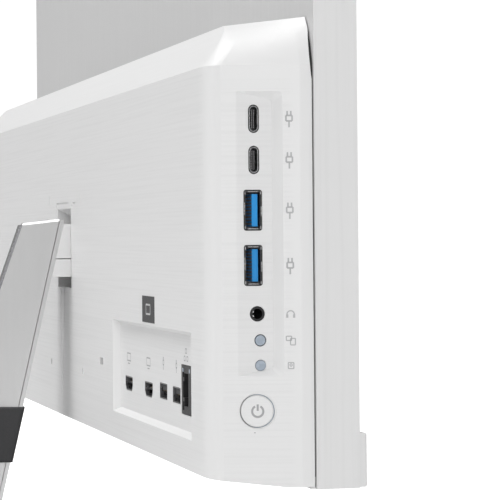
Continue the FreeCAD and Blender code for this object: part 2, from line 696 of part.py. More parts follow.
SKIN = housing_form(0.05)
button("power_button", side_point("power_height", "power_line"), size("power_radius"), SKIN, 4,
       size("power_round"))
button("source_button", side_point("lens_one", "lens_line"), size("lens_radius"),
       block((FLOOR_X - 0.2, -100, 0), (FLOOR_X + 30, 100, 400)), 3.6, 0.3)
lens = side_point("lens_two", "lens_line", FLOOR_X - 0.2)
made("status_lens", Part.makeCylinder(size("lens_radius"), 8, lens, FreeCAD.Vector(1, 0, 0)))

made("hdmi_shells", Part.makeCompound([
    hdmi_form(size(name), REAR_Y, 12).cut(hdmi_form(size(name), REAR_Y + 1, 12, -THIN)) for name in HDMI]))
boxes("hdmi_tongues", [(f"{name}-5.5", "slab_back+depth_back-rear_depth-10.9", "desk_gap+hdmi_height-0.2",
                        "11", "9.5", "0.9") for name in HDMI])
shells("rear_usb_shells", [usb_a_forms(FreeCAD.Vector(size(name), REAR_Y, FOOT + size("rear_usb_height")),
                                       False, 12) for name in REAR_USB])
boxes("rear_usb_tongues", [(f"{name}-5.55", "slab_back+depth_back-rear_depth-10.9",
                            "desk_gap+rear_usb_height+0.2", "11.1", "10", "1.9") for name in REAR_USB])


def lan_jack():
    """A network jack turned on its side, with the step for the plug's latch."""
    x, z = size("lan_centre"), FOOT + size("lan_height")
    whole = rear_box(x, "lan_height", size("lan_wide"), size("lan_long"), REAR_Y, 12.2)
    socket = block((x - 3.4, REAR_Y - 11, z - 6), (x + 3.4, REAR_Y + 1, z + 6))
    step = block((x + 3.3, REAR_Y - 11, z - 3), (x + 5.4, REAR_Y + 1, z + 3))
    lamps = [block((x + 3.7, REAR_Y - 1, middle - 1.6), (x + 5.7, REAR_Y + 1, middle + 1.6))
             for middle in (z - 6, z + 6)]
    return whole.cut(Part.makeCompound([socket.fuse(step)] + lamps))


made("lan_jack", lan_jack())
inlet = FreeCAD.Vector(size("power_in_centre"), REAR_Y, FOOT + size("power_in_height"))
toward = FreeCAD.Vector(0, -1, 0)
made("power_inlet", Part.makeCylinder(size("power_in_radius"), 12.2, inlet, toward)
     .cut(Part.makeCylinder(size("power_in_radius") - 0.8, 11, inlet, toward))
     .fuse(Part.makeCylinder(0.9, 11.5, inlet - FreeCAD.Vector(0, 0.6, 0), toward)))
made("lock_insert", block((size("lock_x") - 8, OUTSIDE - 3.3, FOOT + size("lock_height") - 6),
                          (size("lock_x") + 8, OUTSIDE - 2.3, FOOT + size("lock_height") + 6))
     .cut(block((size("lock_x") - 3.5, -100, FOOT + size("lock_height") - 1.5),
                (size("lock_x") + 3.5, 100, FOOT + size("lock_height") + 1.5))))
boxes("rear_label", [("-205.7", "slab_back+depth_back", "desk_gap+53.8", "22.9", "0.15", "10.2")])

# ---- boards and cooling --------------------------------------------------------

boxes("mainboard", [("-269", "-17.6", "desk_gap+9", "209", "1.6", "131")])
boxes("side_port_board", [("-282.8", "-17.6", "desk_gap+37", "12", "1.6", "99")])
boxes("button_board", [("-291.2", "slab_back+power_line-7", "desk_gap+power_height-9", "1.6", "14", "19"),
                       ("-292.9", "slab_back+power_line-2", "desk_gap+power_height-2", "1.7", "4", "4")])
SPOTS = [(x, z) for x in ("-262", "-165", "-67") for z in ("desk_gap+18", "desk_gap+134")]
rods("board_standoffs", "y", [(x, "-35.9", z, "2.5", "18.3") for x, z in SPOTS])
rods("board_screws", "y", [(x, "-16", z, "2.6", "1.8") for x, z in SPOTS])
boxes("processor", [("-150", "-16", "desk_gap+76", "38", "1.2", "38")])
boxes("cold_plate", [("-156", "-14.8", "desk_gap+70", "50", "2", "55")])
boxes("heat_pipe", [("-150", "-12.8", "desk_gap+113", "250", "3", "8")])
boxes("memory_modules", [("-252", "-15.9", "desk_gap+" + z, "67.6", "3.8", "30") for z in ("62", "96")])
boxes("storage_module", [("-140", "-21.2", "desk_gap+21.5", "80", "3.5", "22")])
boxes("wireless_card", [("-182", "-20.6", "desk_gap+21.5", "30", "2.9", "22")])


def fin_stack():
    """A base with thin fins, made by repeating one fin."""
    body = new_body("fin_stack")
    sketch = new_sketch(body, "XY_Plane", "desk_gap+111")
    rectangle(sketch, "44", "-9.8", "112", "-8.8")
    pad(body, sketch, "32")
    fin = new_sketch(body, "XY_Plane", "desk_gap+111")
    rectangle(fin, "44", "-8.8", "44.6", "-3.6")
    row = pad(body, fin, "32")
    doc.recompute()
    pattern = body.newObject("PartDesign::LinearPattern", "fins")
    pattern.Originals = [row]
    pattern.Direction = (fin, ["H_Axis"])
    pattern.Length = 67
    pattern.Occurrences = 22
    body.Tip = pattern
    return body


fin_stack()
FAN = FreeCAD.Vector(84, -3.5, FOOT + 62)


def fan_housing():
    """A blower's case: open to the rear for air in, and at the top for air out."""
    body = new_body("fan_housing")
    sketch = new_sketch(body, "XZ_Plane", "3.5")
    rectangle(sketch, "42", "desk_gap+20", "126", "desk_gap+104")
    pad(body, sketch, "11.5")
    bowl = new_sketch(body, "XZ_Plane", "2.5")
    ring(bowl, "84", "desk_gap+62", "38")
    pocket(body, bowl, "11.3")
    outlet = new_sketch(body, "XZ_Plane", "2.5")
    rectangle(outlet, "60", "desk_gap+62", "121", "desk_gap+106")
    pocket(body, outlet, "11.3")
    pin = new_sketch(body, "XZ_Plane", "5")
    ring(pin, "84", "desk_gap+62", "1.5")
    pad(body, pin, "9.5")
    return body


fan_housing()


def fan_rotor():
    """A hub with a ring of curved blades."""
    turn = FreeCAD.Vector(0, -1, 0)
    hub = Part.makeCylinder(13, 8, FAN - FreeCAD.Vector(0, 0.5, 0), turn)
    blades = []
    count = 17
    for index in range(count):
        blade = block((-0.5, -8, 12), (0.5, -0.5, 34))
        blade.rotate(FreeCAD.Vector(0, 0, 12), FreeCAD.Vector(0, 1, 0), 28)
        blade.rotate(FreeCAD.Vector(), FreeCAD.Vector(0, 1, 0), 360 / count * index)
        blade.translate(FAN)
        blades.append(blade)
    disc = Part.makeCylinder(34, 0.8, FAN - FreeCAD.Vector(0, 7.7, 0), turn)
    bore = Part.makeCylinder(1.56, 12, FAN + FreeCAD.Vector(0, 1, 0), turn)
    rotor = hub.fuse(blades + [disc]).cut(bore)
    return rotor.common(Part.makeCylinder(36, 20, FAN + FreeCAD.Vector(0, 1, 0), turn)).removeSplitter()


made("fan_rotor", fan_rotor())
boxes("hard_drive", [("152", "-29.5", "desk_gap+40", "100", "7", "70")])
caddy = cut("caddy_cut", box("caddy_block", "150.5", "-31", "desk_gap+38.5", "103", "6", "73"),
            [box("caddy_space", "151.9", "-29.6", "desk_gap+39.9", "100.2", "8", "70.2")])
listed(caddy, "drive_caddy")

# ---- hinge -----------------------------------------------------------------------

LEAF_HOLES = [(38, 66), (52, 66), (38, 104), (52, 104)]
AXIS_Y = BACK + size("axis_line")
AXIS_Z = FOOT + size("axis_height")


def bracket(side):
    """One friction bracket: a leaf on the chassis, a web and a barrel round the shaft."""
    near, far = (22, 29) if side > 0 else (-29, -22)
    leaf_start = 22 if side > 0 else -58
    leaf = block((leaf_start, -35.8, FOOT + 60), (leaf_start + 36, -33.8, FOOT + 110))
    web = block((near, -34, AXIS_Z - 7), (far, AXIS_Y, AXIS_Z + 7))
    barrel = Part.makeCylinder(8, 7, FreeCAD.Vector(near, AXIS_Y, AXIS_Z), FreeCAD.Vector(1, 0, 0))
    bore = Part.makeCylinder(size("shaft_radius") + size("run_gap"), 20,
                             FreeCAD.Vector(near - 5, AXIS_Y, AXIS_Z), FreeCAD.Vector(1, 0, 0))
    holes = [Part.makeCylinder(1.6, 4, FreeCAD.Vector(side * x, -36.5, FOOT + z), FreeCAD.Vector(0, 1, 0))
             for x, z in LEAF_HOLES]
    return leaf.fuse([web, barrel]).cut(Part.makeCompound([bore] + holes)).removeSplitter()


made("hinge_brackets", Part.makeCompound([bracket(-1), bracket(1)]))
rows = [(side * x, z) for side in (-1, 1) for x, z in LEAF_HOLES]
made("hinge_screws", Part.makeCompound([
    Part.makeCylinder(1.5, 2, FreeCAD.Vector(x, -35.8, FOOT + z), FreeCAD.Vector(0, 1, 0)).fuse(
        Part.makeCylinder(2.8, 1.6, FreeCAD.Vector(x, -33.8, FOOT + z), FreeCAD.Vector(0, 1, 0)))
    for x, z in rows]))
rods("hinge_shaft", "x", [("-33.5", "slab_back+axis_line", "desk_gap+axis_height", "shaft_radius", "67")])
nuts = [tube(f"nut_{side}", "x", x, "slab_back+axis_line", "desk_gap+axis_height",
             "7", "shaft_radius", "3.6") for side, x in (("left", "-33"), ("right", "29.4"))]
listed(group("nut_pair", nuts), "shaft_nuts")

# ---- leg and base ------------------------------------------------------------------


def front_at(height):
    """Rearward place of the leg's front edge at a height above the slab's foot."""
    return f"slab_back+leg_front+front_lean*(leg_top_front-({height}))"


def rear_at(height):
    return f"slab_back+leg_rear+rear_lean*(leg_top_rear-({height}))"


LEG_LOW = size("foot_thick") + size("base_thick") - FOOT
CORE_HALF = size("leg_half") - size("leg_plate")
CORE_SPINE = size("leg_spine") - size("leg_plate")
COVER = 1.2


def leg_form(front_half, rear_half, front_in=0.0, rear_in=0.0, start=0.0, stop=1.0):
    """The leg's wedge-shaped section run up the leg, from one share of its length to another."""
    def level(share):
        high_front = LEG_LOW + share * (size("leg_top_front") - LEG_LOW)
        high_rear = LEG_LOW + share * (size("leg_top_rear") - LEG_LOW)
        front = number(front_at(high_front)) + front_in
        rear = number(rear_at(high_rear)) - rear_in
        return [FreeCAD.Vector(-front_half, front, FOOT + high_front),
                FreeCAD.Vector(front_half, front, FOOT + high_front),
                FreeCAD.Vector(rear_half, rear, FOOT + high_rear),
                FreeCAD.Vector(-rear_half, rear, FOOT + high_rear)]
    return loft_box(level(start), level(stop))


def between(low, high):
    """The level slice of space between two heights above the slab's foot."""
    return block((-100, -100, FOOT + low), (100, 200, FOOT + high))


def behind(distance):
    """All the space that lies more than a distance behind the leg's front face."""
    def level(height):
        front = number(front_at(height)) + distance
        return [FreeCAD.Vector(-40, front, FOOT + height), FreeCAD.Vector(40, front, FOOT + height),
                FreeCAD.Vector(40, 250, FOOT + height), FreeCAD.Vector(-40, 250, FOOT + height)]
    return loft_box(level(LEG_LOW - 5), level(size("leg_top_front") + 5))


def leg_core():
    """The leg's hollow inner casting, open at its foot."""
    wall = size("leg_wall")
    outer = leg_form(CORE_HALF, CORE_SPINE, 0, COVER, 0, 0.995)
    front = leg_form(size("leg_half"), size("leg_spine"), 0, COVER, 0, 0.995).cut(behind(size("leg_lip") - 0.3))
    return outer.fuse(front).cut(leg_form(CORE_HALF - wall, 0.4, wall, 3 * wall, -0.02, 0.95))


def leg_plate(side):
    """A polished side plate with its upper edge cut at an angle."""
    whole = leg_form(size("leg_half"), size("leg_spine"), 0, COVER).common(behind(size("leg_lip")))
    both = whole.cut(leg_form(CORE_HALF, CORE_SPINE, 0, COVER, -0.02, 1.02))
    plate = [solid for solid in both.Solids if side * solid.CenterOfMass.x > 0][0]
    rim = []
    for edge in plate.Edges:
        span = edge.BoundBox
        reach = max(abs(span.XMin), abs(span.XMax))
        if span.ZMin > FOOT + size("leg_top_rear") - 3 and span.YLength > 8 and reach > CORE_HALF - 0.5:
            rim.append(edge)
    return plate.makeChamfer(1.0, rim)


def leg_cover():
    """A narrow strip down the leg's rear edge."""
    def level(share):
        height = LEG_LOW + share * (size("leg_top_rear") - LEG_LOW)
        rear, half = number(rear_at(height)), size("leg_spine") - 0.4
        return [FreeCAD.Vector(-half, rear - COVER, FOOT + height), FreeCAD.Vector(half, rear - COVER, FOOT + height),
                FreeCAD.Vector(half, rear, FOOT + height), FreeCAD.Vector(-half, rear, FOOT + height)]
    return loft_box(level(0), level(0.995))


made("leg_core", leg_core())
made("leg_plate_left", leg_plate(-1))
made("leg_plate_right", leg_plate(1))
made("leg_rear_cover", leg_cover())


def cable_clip():
    """A soft band round the leg with a loop behind it for cables."""
    low, high = size("clip_low"), size("clip_high")
    proud, loop, wall = size("clip_proud"), size("clip_loop"), 2.2
    half, rear_half = size("leg_half") + 1.2, size("leg_spine") + 4.5
    band = leg_form(half, rear_half, -proud, -loop, 0.2, 0.7).common(between(low, high))
    edges = []
    for edge in band.Edges:
        upright = edge.BoundBox.ZLength > 20
        if upright or edge.BoundBox.YLength > 20:
            edges.append(edge)
    band = band.makeFillet(1.2, edges)
    leg = leg_form(size("leg_half") + 0.05, size("leg_spine") + 0.05, -0.05, -0.05, 0.1, 0.8)

    def level(height):
        rear = number(rear_at(height))
        near, far = rear_half + wall - 0.8, rear_half - wall + 0.4
        return [FreeCAD.Vector(-near, rear + wall, FOOT + height), FreeCAD.Vector(near, rear + wall, FOOT + height),
                FreeCAD.Vector(far, rear + loop - wall, FOOT + height),
                FreeCAD.Vector(-far, rear + loop - wall, FOOT + height)]
    return band.cut(leg).cut(loft_box(level(low - 5), level(high + 5)))


made("cable_clip", cable_clip())


def neck(low, high):
    """A block between the leg's front edge and the inside of the housing's pocket."""
    corners = [(BACK + size("neck_front"), FOOT + low), (number(front_at(low)), FOOT + low),
               (number(front_at(high)), FOOT + high), (BACK + size("neck_front"), FOOT + high)]
    solid = side_prism(size("neck_half"), corners)
    edges = [edge for edge in solid.Edges if edge.BoundBox.YMax < BACK + size("neck_front") + 1e-3]
    return solid.makeFillet(1.5, [edge for edge in edges if edge.BoundBox.XLength > 1])


shaft_way = Part.makeCylinder(size("shaft_radius"), 100, FreeCAD.Vector(-50, AXIS_Y, AXIS_Z),
                              FreeCAD.Vector(1, 0, 0))
made("hinge_neck", neck(size("neck_seam"), size("neck_high")).cut(shaft_way))
made("neck_lower_cover", neck(size("neck_low"), size("neck_seam") - 0.4))

PLATE_LOW, PLATE_HIGH = size("foot_thick"), size("foot_thick") + size("base_thick")
LEG_HOLES = [(-5, BACK + 81), (5, BACK + 81), (0, BACK + 91)]


def leg_anchor():
    """A steel block inside the leg's foot, with the threads of the leg's screws."""
    wall, slack = size("leg_wall"), 0.1
    solid = leg_form(CORE_HALF - wall - slack, 0.3, wall + slack, 3 * wall + slack, 0, 0.2)
    solid = solid.common(between(LEG_LOW, LEG_LOW + 18))
    return solid.cut(Part.makeCompound([
        Part.makeCylinder(2, 14, FreeCAD.Vector(x, y, PLATE_HIGH)) for x, y in LEG_HOLES]))


made("leg_anchor", leg_anchor())
made("leg_screws", Part.makeCompound([
    Part.makeCylinder(2, 13.5, FreeCAD.Vector(x, y, PLATE_LOW + 3)).fuse(
        Part.makeCylinder(4, 2, FreeCAD.Vector(x, y, PLATE_LOW + 1))) for x, y in LEG_HOLES]))


def base_plate():
    """The aluminium base: round-cornered, hollow below for the ballast, drilled for the leg."""
    body = new_body("base_plate")
    sketch = new_sketch(body, "XY_Plane", "foot_thick")
    rectangle(sketch, "-base_width/2", "-base_depth/2", "base_width/2", "base_depth/2")
    pad(body, sketch, "base_thick")
    doc.recompute()
    upright = [f"Edge{index}" for index, edge in enumerate(body.Shape.Edges, start=1)
               if edge.BoundBox.ZLength > 1]
    dress(body, "Fillet", upright, "base_corner")
    doc.recompute()
    rim = [f"Edge{index}" for index, edge in enumerate(body.Shape.Edges, start=1)
           if edge.BoundBox.ZMin > PLATE_HIGH - 1e-3]
    dress(body, "Chamfer", rim, "1.2")
    well = new_sketch(body, "XY_Plane", "foot_thick-1")
    rectangle(well, "ballast_margin-base_width/2", "ballast_margin-base_depth/2",
              "base_width/2-ballast_margin", "base_depth/2-ballast_margin")
    pocket(body, well, "ballast_thick+1")
    holes = new_sketch(body, "XY_Plane", "foot_thick-1")
    for x, y in LEG_HOLES:
        ring(holes, str(x), str(y), "2.2")
    pocket(body, holes, "base_thick+3")
    return body


base_plate()


def ballast_plate():
    """A steel plate that fills the base's hollow, with room for the screws' heads."""
    body = new_body("ballast_plate")
    sketch = new_sketch(body, "XY_Plane", "foot_thick")
    rectangle(sketch, "ballast_margin+0.1-base_width/2", "ballast_margin+0.1-base_depth/2",
              "base_width/2-ballast_margin-0.1", "base_depth/2-ballast_margin-0.1")
    for x, y in LEG_HOLES:
        ring(sketch, str(x), str(y), "4.4")
    pad(body, sketch, "ballast_thick")
    return body


ballast_plate()
FEET = [(x, y) for x in ("20-base_width/2", "-45", "45", "base_width/2-20")
        for y in ("20-base_depth/2", "base_depth/2-20")]
rods("base_feet", "z", [(x, y, "0", "foot_radius", "foot_thick") for x, y in FEET])

# ---- check and write ------------------------------------------------------------------

doc.recompute()
for thing in doc.Objects:
    if "Invalid" in thing.State or "Error" in thing.State:
        raise RuntimeError("failed object: " + thing.Name)
for part in subparts:
    if part.Shape.isNull() or not part.Shape.isValid():
        raise RuntimeError("bad shape: " + part.Label)
os.makedirs("parts", exist_ok=True)
for part in subparts:
    part.Shape.exportStep("parts/" + part.Label + ".step")
print(len(subparts), "sub-parts written")
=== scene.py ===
import bpy
import bmesh
import math
from mathutils import Matrix, Vector


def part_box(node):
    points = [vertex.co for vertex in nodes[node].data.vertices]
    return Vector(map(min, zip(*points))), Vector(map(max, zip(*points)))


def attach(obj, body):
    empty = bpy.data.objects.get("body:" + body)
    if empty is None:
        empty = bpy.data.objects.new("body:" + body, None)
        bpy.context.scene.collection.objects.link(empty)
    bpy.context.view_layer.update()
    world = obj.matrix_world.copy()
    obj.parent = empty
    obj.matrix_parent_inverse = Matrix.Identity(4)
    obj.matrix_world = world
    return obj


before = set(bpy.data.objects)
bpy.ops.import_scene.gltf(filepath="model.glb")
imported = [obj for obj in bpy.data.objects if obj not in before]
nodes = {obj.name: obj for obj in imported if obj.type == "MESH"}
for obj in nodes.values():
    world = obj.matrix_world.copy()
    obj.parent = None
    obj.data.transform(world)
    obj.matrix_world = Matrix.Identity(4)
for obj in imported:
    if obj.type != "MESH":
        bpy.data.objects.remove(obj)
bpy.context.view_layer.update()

MM = 0.001
X, Y, Z = Vector((1, 0, 0)), Vector((0, 1, 0)), Vector((0, 0, 1))
SLAB_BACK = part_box("rear_housing")[0].y


# ---- camera, floor and light -------------------------------------------------

def add_camera():
    """A long lens behind the object, off its port side, level with the housing's middle."""
    slab_low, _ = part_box("slab_rear_cover")
    eye = Vector((slab_low.x - 755 * MM, SLAB_BACK + 212.6 * MM, slab_low.z + 86.8 * MM))
    turn, drop, roll = math.radians(14.1), math.radians(0.35), math.radians(-0.5)
    forward = Vector((math.cos(turn) * math.cos(drop), -math.sin(turn) * math.cos(drop), -math.sin(drop)))
    data = bpy.data.cameras.new("camera")
    data.sensor_width = 36
    data.lens = 165.4
    data.clip_start = 0.05
    camera = bpy.data.objects.new("camera", data)
    bpy.context.scene.collection.objects.link(camera)
    look = forward.to_track_quat("-Z", "Y").to_matrix().to_4x4()
    camera.matrix_world = Matrix.Translation(eye) @ look @ Matrix.Rotation(roll, 4, "Z")
    bpy.context.scene.camera = camera


def add_floor():
    """A wide pale floor, lit a little from within so that it meets the white backdrop."""
    reach = 6.0
    mesh = bpy.data.meshes.new("floor")
    corners = [(-reach, -reach, 0), (reach, -reach, 0), (reach, reach, 0), (-reach, reach, 0)]
    mesh.from_pydata(corners, [], [(0, 1, 2, 3)])
    floor = bpy.data.objects.new("floor", mesh)
    bpy.context.scene.collection.objects.link(floor)
    material = bpy.data.materials.new("floor_white")
    material.use_nodes = True
    tree = material.node_tree
    shader = tree.nodes["Principled BSDF"]
    shader.inputs["Base Color"].default_value = (0.92, 0.92, 0.92, 1)
    shader.inputs["Roughness"].default_value = 0.9
    shader.inputs["Emission Color"].default_value = (1, 1, 1, 1)
    shader.inputs["Emission Strength"].default_value = 0.55
    dull = tree.nodes.new("ShaderNodeBsdfDiffuse")
    dull.inputs["Color"].default_value = (0.8, 0.8, 0.8, 1)
    seen = tree.nodes.new("ShaderNodeLightPath")
    either = tree.nodes.new("ShaderNodeMixShader")
    tree.links.new(seen.outputs["Is Camera Ray"], either.inputs[0])
    tree.links.new(dull.outputs[0], either.inputs[1])
    tree.links.new(shader.outputs[0], either.inputs[2])
    tree.links.new(either.outputs[0], tree.nodes["Material Output"].inputs["Surface"])
    mesh.materials.append(material)


def add_softbox(name, place, aim, wide, tall, power):
    """A rectangular light at a place in metres, turned towards its aim."""
    data = bpy.data.lights.new(name, "AREA")
    data.shape = "RECTANGLE"
    data.size, data.size_y = wide, tall
    data.energy = power
    light = bpy.data.objects.new(name, data)
    bpy.context.scene.collection.objects.link(light)
    place, aim = Vector(place), Vector(aim)
    look = (aim - place).to_track_quat("-Z", "Y").to_matrix().to_4x4()
    light.matrix_world = Matrix.Translation(place) @ look


def add_lights():
    """A bright ceiling, a softer surround, and softboxes above, behind and off the port side."""
    world = bpy.data.worlds.new("studio")
    world.use_nodes = True
    tree = world.node_tree
    surround = tree.nodes["Background"]
    height = tree.nodes.new("ShaderNodeSeparateXYZ")
    direction = tree.nodes.new("ShaderNodeTexCoord")
    ramp = tree.nodes.new("ShaderNodeMapRange")
    ramp.inputs["From Min"].default_value = -0.2
    ramp.inputs["From Max"].default_value = 0.9
    ramp.inputs["To Min"].default_value = 0.32
    ramp.inputs["To Max"].default_value = 0.66
    tree.links.new(direction.outputs["Generated"], height.inputs[0])
    tree.links.new(height.outputs["Z"], ramp.inputs["Value"])
    tree.links.new(ramp.outputs["Result"], surround.inputs["Strength"])
    backdrop = tree.nodes.new("ShaderNodeBackground")
    backdrop.inputs["Strength"].default_value = 1.05
    seen = tree.nodes.new("ShaderNodeLightPath")
    either = tree.nodes.new("ShaderNodeMixShader")
    tree.links.new(seen.outputs["Is Camera Ray"], either.inputs[0])
    tree.links.new(surround.outputs[0], either.inputs[1])
    tree.links.new(backdrop.outputs[0], either.inputs[2])
    tree.links.new(either.outputs[0], tree.nodes["World Output"].inputs["Surface"])
    surround.inputs["Color"].default_value = (1, 1, 1, 1)
    backdrop.inputs["Color"].default_value = (1, 1, 1, 1)
    bpy.context.scene.world = world
    add_softbox("port_side_light", (-2.0, 0.5, 0.6), (-0.3, 0, 0.18), 1.0, 0.8, 8.8)
    add_softbox("rear_top_light", (0.15, 0.75, 1.85), (-0.2, 0, 0.25), 1.3, 1.0, 19.5)
    add_softbox("front_light", (0.7, -2.2, 1.6), (0, 0, 0.2), 1.4, 1.4, 14)


# ---- materials ---------------------------------------------------------------

class Finish:
    """One material: a Principled shader and the short node chains that vary it."""

    def __init__(self, name, colour, roughness, metallic=0.0, **sockets):
        self.material = bpy.data.materials.new(name)
        self.material.use_nodes = True
        self.tree = self.material.node_tree
        self.shader = self.tree.nodes["Principled BSDF"]
        self.colour = colour
        self.shader.inputs["Base Color"].default_value = (*colour, 1)
        self.shader.inputs["Roughness"].default_value = roughness
        self.shader.inputs["Metallic"].default_value = metallic
        for socket, value in sockets.items():
            self.shader.inputs[socket.replace("_", " ").title()].default_value = value
        self.place = self.node("ShaderNodeTexCoord")
        self.heights = []

    def node(self, kind, **settings):
        made = self.tree.nodes.new(kind)
        for key, value in settings.items():
            setattr(made, key, value)
        return made

    def link(self, source, target):
        self.tree.links.new(source, target)

    def stretched(self, scale, turn=(0, 0, 0)):
        """The object's own coordinates, stretched by a factor along each axis."""
        mapping = self.node("ShaderNodeMapping")
        mapping.inputs["Scale"].default_value = scale
        mapping.inputs["Rotation"].default_value = turn
        self.link(self.place.outputs["Object"], mapping.inputs["Vector"])
        return mapping.outputs["Vector"]

    def noise(self, scale, detail=3.0, turn=(0, 0, 0)):
        """A noise of a given fineness along each axis."""
        texture = self.node("ShaderNodeTexNoise")
        texture.inputs["Scale"].default_value = 1.0
        texture.inputs["Detail"].default_value = detail
        self.link(self.stretched(scale, turn), texture.inputs["Vector"])
        return texture.outputs["Fac"]

    def ramped(self, value, low, high, out_low=0.0, out_high=1.0):
        """A value run smoothly from one output to another between two limits."""
        ramp = self.node("ShaderNodeMapRange")
        ramp.interpolation_type = "SMOOTHSTEP"
        sockets = ("From Min", "From Max", "To Min", "To Max")
        for socket, number in zip(sockets, (low, high, out_low, out_high)):
            ramp.inputs[socket].default_value = number
        self.link(value, ramp.inputs["Value"])
        return ramp.outputs["Result"]

    def times(self, one, other, operation="MULTIPLY"):
        """Two values or numbers joined by an operation, a product unless it is named."""
        maths = self.node("ShaderNodeMath", operation=operation)
        for index, value in enumerate((one, other)):
            if isinstance(value, (int, float)):
                maths.inputs[index].default_value = value
            else:
                self.link(value, maths.inputs[index])
        return maths.outputs[0]

    def normal(self, axis):
        """One part of the surface's direction in the object's own frame."""
        split = self.node("ShaderNodeSeparateXYZ")
        self.link(self.place.outputs["Normal"], split.inputs[0])
        return split.outputs[axis]

    def height_above(self, axis):
        """The distance from the object's origin along one axis."""
        split = self.node("ShaderNodeSeparateXYZ")
        self.link(self.place.outputs["Object"], split.inputs[0])
        return split.outputs[axis]

    def tint(self, factor, colour):
        """Mix another colour in where the factor is high, over what is there."""
        mix = self.node("ShaderNodeMix", data_type="RGBA")
        target = self.shader.inputs["Base Color"]
        if target.links:
            self.link(target.links[0].from_socket, mix.inputs["A"])
        else:
            mix.inputs["A"].default_value = (*self.colour, 1)
        mix.inputs["B"].default_value = (*colour, 1)
        self.link(factor, mix.inputs["Factor"])
        self.link(mix.outputs["Result"], target)

    def polish(self, factor, low, high):
        """Vary the roughness between two values."""
        self.link(self.ramped(factor, 0.2, 0.8, low, high), self.shader.inputs["Roughness"])

    def relief(self, factor, depth):
        """Bump of a depth in metres."""
        bump = self.node("ShaderNodeBump")
        bump.inputs["Distance"].default_value = depth
        bump.inputs["Strength"].default_value = 1.0
        self.link(factor, bump.inputs["Height"])
        target = self.shader.inputs["Normal"]
        if target.links:
            self.link(target.links[0].from_socket, bump.inputs["Normal"])
        self.link(bump.outputs["Normal"], target)


def grained(name, colour, roughness, grain=2500, shade=0.92, depth=0.012 * MM, **sockets):
    """Moulded plastic or rubber: an even fine grain with slow, faint clouds."""
    finish = Finish(name, colour, roughness, **sockets)
    fine = finish.noise((grain, grain, grain), 2)
    clouds = finish.noise((18, 18, 18), 2)
    darker = tuple(part * shade for part in colour)
    finish.tint(finish.ramped(clouds, 0.35, 0.7), darker)
    finish.polish(fine, roughness - 0.06, roughness + 0.06)
    finish.relief(fine, depth)
    return finish


def housing_white():
    """Satin white with fine level hairlines on the back and on the side panel only."""
    colour = (0.80, 0.80, 0.80)
    finish = Finish("housing_white", colour, 0.42)
    hair = finish.noise((9, 9, 1300), 4)
    broad = finish.noise((5, 5, 420), 2)
    back = finish.ramped(finish.normal("Y"), 0.985, 0.998)
    side = finish.ramped(finish.times(finish.normal("X"), -1), 0.94, 0.96)
    side_low, side_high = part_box("rear_housing")
    top = finish.ramped(finish.height_above("Z"), side_high.z - 23 * MM, side_high.z - 21 * MM, 1, 0)
    ends = finish.ramped(finish.height_above("X"), side_low.x + 0.8 * MM, side_low.x + 1.6 * MM)
    panel = finish.times(finish.times(side, top), ends)
    brushed = finish.times(back, panel, "MAXIMUM")
    lines = finish.times(finish.ramped(hair, 0.42, 0.72), brushed)
    bands = finish.times(finish.ramped(broad, 0.4, 0.75), brushed)
    finish.tint(finish.times(lines, 0.3), (0.71, 0.71, 0.71))
    finish.tint(finish.times(bands, 0.2), (0.75, 0.75, 0.75))
    finish.relief(finish.times(hair, brushed), 0.008 * MM)
    finish.polish(hair, 0.36, 0.5)
    return finish


def frame_white():
    """Satin white frame with a fine matt texture, whose wide back face carries painted shade: a darker grey
    tint.
    """
    finish = Finish("frame_white", (0.78, 0.78, 0.78), 0.45)
    fine = finish.noise((2600, 2600, 2600), 2)
    streaks = finish.noise((700, 700, 14), 2)
    # painted shade: faces looking backwards are tinted darker grey, standing in for the dimmer light on the
    # wide back face
    back = finish.ramped(finish.normal("Y"), 0.9, 0.99)
    finish.tint(back, (0.60, 0.60, 0.60))
    finish.tint(finish.ramped(streaks, 0.4, 0.8, 0, 0.25), (0.68, 0.68, 0.68))
    finish.relief(fine, 0.01 * MM)
    finish.polish(fine, 0.4, 0.52)
    return finish


def satin_aluminium(name="satin_aluminium", colour=(0.70, 0.70, 0.70)):
    """Anodised aluminium: blasted grain and faint long rolling marks."""
    finish = Finish(name, colour, 0.42, metallic=0.75)
    grain = finish.noise((1800, 1800, 1800), 3)
    rolled = finish.noise((260, 260, 10), 3, (0.28, 0, 0))
    finish.tint(finish.ramped(rolled, 0.35, 0.75, 0, 0.2), tuple(part * 0.9 for part in colour))
    finish.tint(finish.ramped(grain, 0.5, 0.8, 0, 0.35), tuple(part * 1.12 for part in colour))
    finish.relief(grain, 0.012 * MM)
    finish.polish(grain, 0.36, 0.5)
    return finish


def worked_metal(name, colour, roughness, stretch=(1200, 1200, 60)):
    """Plated or bare metal with short drawing marks and a slightly uneven polish."""
    finish = Finish(name, colour, roughness, metallic=1.0)
    marks = finish.noise(stretch, 3)
    stains = finish.noise((60, 60, 60), 3)
    finish.tint(finish.ramped(stains, 0.45, 0.8, 0, 0.6), tuple(part * 0.75 for part in colour))
    finish.polish(marks, roughness - 0.08, roughness + 0.1)
    finish.relief(marks, 0.008 * MM)
    return finish


